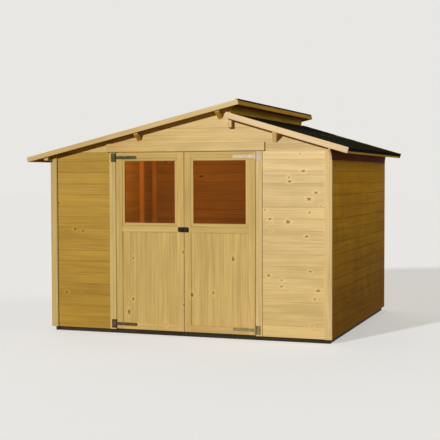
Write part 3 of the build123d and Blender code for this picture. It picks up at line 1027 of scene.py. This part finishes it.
# Felt, with a lap across each slab that is nailed along its lower edge
for slab in ("roof_felt_left", "roof_felt_right"):
    nodes[slab].data.materials[0] = roof_felt
    sheet = merged_solid(slab)
    top = max(
        (face for face in sheet.faces if face.normal.z > 0.5), key=lambda face: face.calc_area()
    )
    outwards = top.normal.copy()
    middle = top.calc_center_median()
    low_y, high_y = min(v.co.y for v in top.verts), max(v.co.y for v in top.verts)
    sheet.free()
    middle.y = (low_y + high_y) / 2
    lap = squared(
        (-lap_width / 2, (low_y - high_y) / 2, -lap_thickness / 2),
        (lap_width / 2, (high_y - low_y) / 2, lap_thickness),
    )
    ease_edges(lap, lap_edge)
    lean = Matrix.Rotation(z_axis.angle(outwards) * (1 if outwards.x > 0 else -1), 4, "Y")
    bmesh.ops.transform(lap, matrix=Matrix.Translation(middle) @ lean, verts=lap.verts)
    make_piece(f"{slab}_lap", [lap], roof_felt, "roof_felt", "shed")
    down_slope = Vector((outwards.x, 0, outwards.z)).cross(y_axis).normalized()
    if down_slope.z > 0:
        down_slope = -down_slope
    nail_row = middle + down_slope * (lap_width / 2 - clout_inset) + outwards * lap_thickness
    spacing = (high_y - low_y) / clout_count
    places = [
        nail_row + y_axis * spacing * (number - (clout_count - 1) / 2)
        for number in range(clout_count)
    ]
    make_nails(f"{slab}_clout_nails", places, outwards, clout_radius)

# Nails through the cladding into the posts and studs behind it
posts = timber_corners("corner_posts") + timber_corners("wall_studs")
for wall, outwards in (("left_wall", -x_axis), ("right_wall", x_axis), ("back_wall", y_axis)):
    wall_low, wall_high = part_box(wall)
    places = []
    for post_low, post_high in posts:
        post_middle = (post_low + post_high) / 2
        if wall == "left_wall" and abs(post_low.x - wall_high.x) < touching_distance:
            across = Vector((wall_low.x, post_middle.y, 0))
        elif wall == "right_wall" and abs(post_high.x - wall_low.x) < touching_distance:
            across = Vector((wall_high.x, post_middle.y, 0))
        elif wall == "back_wall" and abs(post_high.y - wall_low.y) < touching_distance:
            across = Vector((post_middle.x, wall_high.y, 0))
        else:
            continue
        height = wall_foot_height + wall_board_width * nail_height_in_board
        while height < min(post_high.z, wall_high.z) - wall_board_width / 2:
            places.append(across + z_axis * height)
            height += wall_board_width
    make_nails(f"{wall}_nails", places, outwards)

# Nails in the trims and the lintel board
for trim_low, trim_high in timber_corners("corner_trims"):
    at_front = trim_low.y < 0
    outwards = -y_axis if at_front else y_axis
    face_y = trim_low.y if at_front else trim_high.y
    middle_x = (trim_low.x + trim_high.x) / 2
    rise = (trim_high.z - trim_low.z) / trim_nail_count
    places = [
        Vector((middle_x, face_y, trim_low.z + rise * (number + 0.5)))
        for number in range(trim_nail_count)
    ]
    end = "front" if at_front else "back"
    hand = "left" if trim_low.x < 0 else "right"
    make_nails(f"{end}_{hand}_trim_nails", places, outwards)
lintel_low, lintel_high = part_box("door_lintel_board")
run = (lintel_high.x - lintel_low.x - 2 * lintel_nail_inset) / (lintel_nail_count - 1)
lintel_middle = (lintel_low.z + lintel_high.z) / 2
places = [
    Vector((lintel_low.x + lintel_nail_inset + run * number, lintel_low.y, lintel_middle))
    for number in range(lintel_nail_count)
]
make_nails("lintel_nails", places, -y_axis)

# Door leaves: stiles and rails, boards below, beads round both faces of the pane
for side in ("left", "right"):
    body = f"{side}_door"
    low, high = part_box(f"{side}_door_frame")
    panel_low, panel_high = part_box(f"{side}_door_boards")
    window_low, window_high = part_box(f"{side}_window_bead")
    members = [
        (low, Vector((panel_low.x, high.y, high.z)), z_axis, x_axis),
        (Vector((panel_high.x, low.y, low.z)), high, z_axis, x_axis),
    ]
    for rail_foot, rail_head in (
        (low.z, panel_low.z),
        (panel_high.z, window_low.z),
        (window_high.z, high.z),
    ):
        members.append(
            (
                Vector((panel_low.x, low.y, rail_foot)),
                Vector((panel_high.x, high.y, rail_head)),
                x_axis,
                z_axis,
            )
        )
    frame_members = []
    for member_low, member_high, along, across in members:
        member = squared(member_low, member_high)
        dress_timber(member, door_groove, (along, across))
        frame_members.append(member)
    make_piece(
        f"{side}_door_stiles_and_rails", frame_members, door_wood, "door_wood", body,
        f"{side}_door_frame",
    )
    make_boards(
        f"{side}_door_boards", door_wood, "door_wood", body, x_axis, z_axis, panel_low.x,
        (panel_high.x - panel_low.x) / door_board_count, door_groove,
    )
    bead_ring = merged_solid(f"{side}_window_bead")
    beads = mitred_members(bead_ring)
    behind_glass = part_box(f"{side}_door_glass")[1].y - window_low.y
    bmesh.ops.translate(bead_ring, vec=y_axis * behind_glass, verts=bead_ring.verts)
    beads += mitred_members(bead_ring)
    bead_ring.free()
    for bead in beads:
        dress_timber(bead, bead_edge, segments=2)
    make_piece(
        f"{side}_window_beads", beads, door_wood, "door_wood", body, f"{side}_window_bead"
    )
    nodes[f"{side}_door_glass"].data.materials[0] = window_glass

    # Hinges: straps on the leaf, plates on the jamb
    zinc = left_hinge_painted_reflections if side == "left" else right_hinge_painted_reflections
    straps = merged_solid(f"{side}_hinge_straps")
    plates = merged_solid(f"{side}_hinge_plates")
    strap_low, strap_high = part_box(f"{side}_hinge_straps")
    plate_low, plate_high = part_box(f"{side}_hinge_plates")
    strap_tip = strap_high.x if side == "left" else strap_low.x
    plate_end = plate_low.x if side == "left" else plate_high.x
    round_corners(straps, strap_tip, strap_tip_radius, segments=5)
    round_corners(plates, plate_end, plate_corner_radius, segments=3)
    face_y = front_y - strap_thickness
    inwards = -1 if side == "left" else 1
    strap_screws = [
        Vector((strap_tip + inwards * inset, face_y, (low_z + high_z) / 2))
        for low_z, high_z in (
            (strap_low.z, strap_low.z + strap_height),
            (strap_high.z - strap_height, strap_high.z),
        )
        for inset in strap_screw_insets
    ]
    plate_screws = [
        Vector((plate_end - inwards * inset, face_y, height + lift))
        for height in (plate_low.z + plate_height / 2, plate_high.z - plate_height / 2)
        for inset in plate_screw_insets
        for lift in (-plate_screw_rise, plate_screw_rise)
    ]
    strap_piece = make_piece(
        f"{side}_strap_irons", [straps], zinc, "hinge_steel", body, f"{side}_hinge_straps"
    )
    plate_piece = make_piece(
        f"{side}_plate_irons", [plates], zinc, "hinge_steel", "shed", f"{side}_hinge_plates"
    )
    for iron in (strap_piece, plate_piece):
        smooth_round_faces(iron)
    make_screws(f"{side}_strap_screws", strap_screws, zinc, "hinge_steel", body)
    make_screws(f"{side}_plate_screws", plate_screws, zinc, "hinge_steel", "shed")

# Latch: a slide housing with a thumb turn, and its keep on the other leaf
for latch_part, body in (("latch_body", "left_door"), ("latch_keep", "right_door")):
    low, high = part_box(latch_part)
    housing = merged_solid(latch_part)
    ease_edges(housing, latch_edge, segments=2)
    middle = (low + high) / 2
    parts = [housing]
    if latch_part == "latch_body":
        turn_place = Vector((middle.x, low.y, middle.z))
        boss = bmesh.new()
        bmesh.ops.create_cone(
            boss, cap_ends=True, segments=boss_sides, radius1=boss_foot_radius,
            radius2=boss_top_radius, depth=boss_height,
        )
        flat_out = Matrix.Rotation(pi / 2, 4, "X")
        bmesh.ops.transform(
            boss, matrix=Matrix.Translation(turn_place) @ flat_out, verts=boss.verts
        )
        grip = squared(
            (-grip_reach, -grip_reach, -grip_half_height), (grip_reach, 0, grip_half_height)
        )
        ease_edges(grip, grip_edge, segments=2)
        bmesh.ops.translate(grip, vec=turn_place, verts=grip.verts)
        parts += [boss, grip]
    make_piece(f"{latch_part}_housing", parts, latch_steel, "latch_steel", body, latch_part)
    screw_places = [
        Vector((screw_x, low.y, screw_z))
        for screw_x in (low.x + latch_screw_inset, high.x - latch_screw_inset)
        for screw_z in (low.z + latch_screw_inset, high.z - latch_screw_inset)
    ]
    make_screws(f"{latch_part}_screws", screw_places, latch_steel, "latch_steel", body)


# Stage, light and camera

def seen_directly(tree):
    """One where a ray comes straight from the camera, or by a reflection or through glass."""
    path = tree.nodes.new("ShaderNodeLightPath")
    share = path.outputs["Is Camera Ray"]
    for ray in ("Is Glossy Ray", "Is Transmission Ray"):
        either = tree.nodes.new("ShaderNodeMath")
        either.operation = "MAXIMUM"
        tree.links.new(share, either.inputs[0])
        tree.links.new(path.outputs[ray], either.inputs[1])
        share = either.outputs[0]
    return share


def make_stage():
    """A plain pale floor that runs out to the backdrop's colour and keeps the shed's shadow."""
    floor = bmesh.new()
    bmesh.ops.create_circle(
        floor, cap_ends=True, segments=floor_sides, radius=floor_radius
    )
    mesh = bpy.data.meshes.new("studio_floor")
    floor.to_mesh(mesh)
    floor.free()
    finish = Finish("pale floor")
    tree = finish.tree
    lit = finish.node("ShaderNodeBsdfDiffuse", {"Color": floor_colour})
    glow = finish.node("ShaderNodeEmission", {"Color": floor_glow, "Strength": 1.0})
    pale = finish.node("ShaderNodeAddShader", {0: lit.outputs[0], 1: glow.outputs[0]})
    bounced = finish.node("ShaderNodeBsdfDiffuse", {"Color": floor_bounce})
    shown = finish.node(
        "ShaderNodeMixShader",
        {0: seen_directly(tree), 1: bounced.outputs[0], 2: pale.outputs[0]},
    )
    tree.links.new(shown.outputs[0], tree.nodes["Material Output"].inputs["Surface"])
    mesh.materials.append(finish.material)
    piece = put_in_scene("studio_floor", mesh)


floor_radius = 70
floor_sides = 64
floor_colour = paint(204, 208, 214)
floor_glow = (0.41, 0.41, 0.415, 1)
floor_bounce = paint(128, 108, 70)
make_stage()

# The backdrop is pale where it is seen, and a weak warm fill on the shed.
backdrop_colour = paint(232, 231, 228)
fill_colour = (1, 0.86, 0.6, 1)
fill_strength = 0.15
world = bpy.data.worlds.new("studio")
bpy.context.scene.world = world
world.use_nodes = True
tree = world.node_tree
background = tree.nodes["Background"]
background.inputs["Color"].default_value = fill_colour
background.inputs["Strength"].default_value = fill_strength
shown = tree.nodes.new("ShaderNodeBackground")
shown.inputs["Color"].default_value = backdrop_colour
shown.inputs["Strength"].default_value = 1
mixed = tree.nodes.new("ShaderNodeMixShader")
tree.links.new(seen_directly(tree), mixed.inputs[0])
tree.links.new(background.outputs[0], mixed.inputs[1])
tree.links.new(shown.outputs[0], mixed.inputs[2])
tree.links.new(mixed.outputs[0], tree.nodes["World Output"].inputs["Surface"])

# Lamps: the angle that each comes from, to the right of the front and above the ground, its
# strength, its softness and its colour
lamps = {
    "key": (-22, 17, 3.0, 3, (0.99, 0.985, 0.975)),
    "right_fill": (104, 32, 0.6, 40, (1, 0.86, 0.56)),
    "back_fill": (-150, 35, 0.7, 60, (1, 0.93, 0.8)),
}
for lamp_name, (side_angle, height_angle, strength, softness, tint) in lamps.items():
    lamp = bpy.data.lights.new(lamp_name, "SUN")
    lamp.energy = strength
    lamp.angle = radians(softness)
    lamp.color = tint
    side_angle, height_angle = radians(side_angle), radians(height_angle)
    towards = Vector(
        (
            sin(side_angle) * cos(height_angle),
            -cos(side_angle) * cos(height_angle),
            sin(height_angle),
        )
    )
    lamp_piece = put_in_scene(lamp_name, lamp)
    lamp_piece.matrix_world = towards.to_track_quat("Z", "Y").to_matrix().to_4x4()

# A soft warm lamp under the roof, so that the inside shows through the panes
inside = bpy.data.lights.new("inside", "POINT")
inside.energy = 18
inside.shadow_soft_size = 0.25
inside.color = (1, 0.54, 0.08)
inside_piece = put_in_scene("inside", inside)
inside_piece.location = (-0.7, 0.0, 1.7)

camera = bpy.data.cameras.new("camera")
camera.sensor_width = sensor_width
camera.lens = camera_lens
camera.clip_end = camera_reach
camera_piece = put_in_scene("camera", camera)
camera_piece.matrix_world = Matrix.Translation(camera_place) @ camera_turn.to_4x4()
bpy.context.scene.camera = camera_piece
bpy.context.scene.view_settings.view_transform = "Standard"
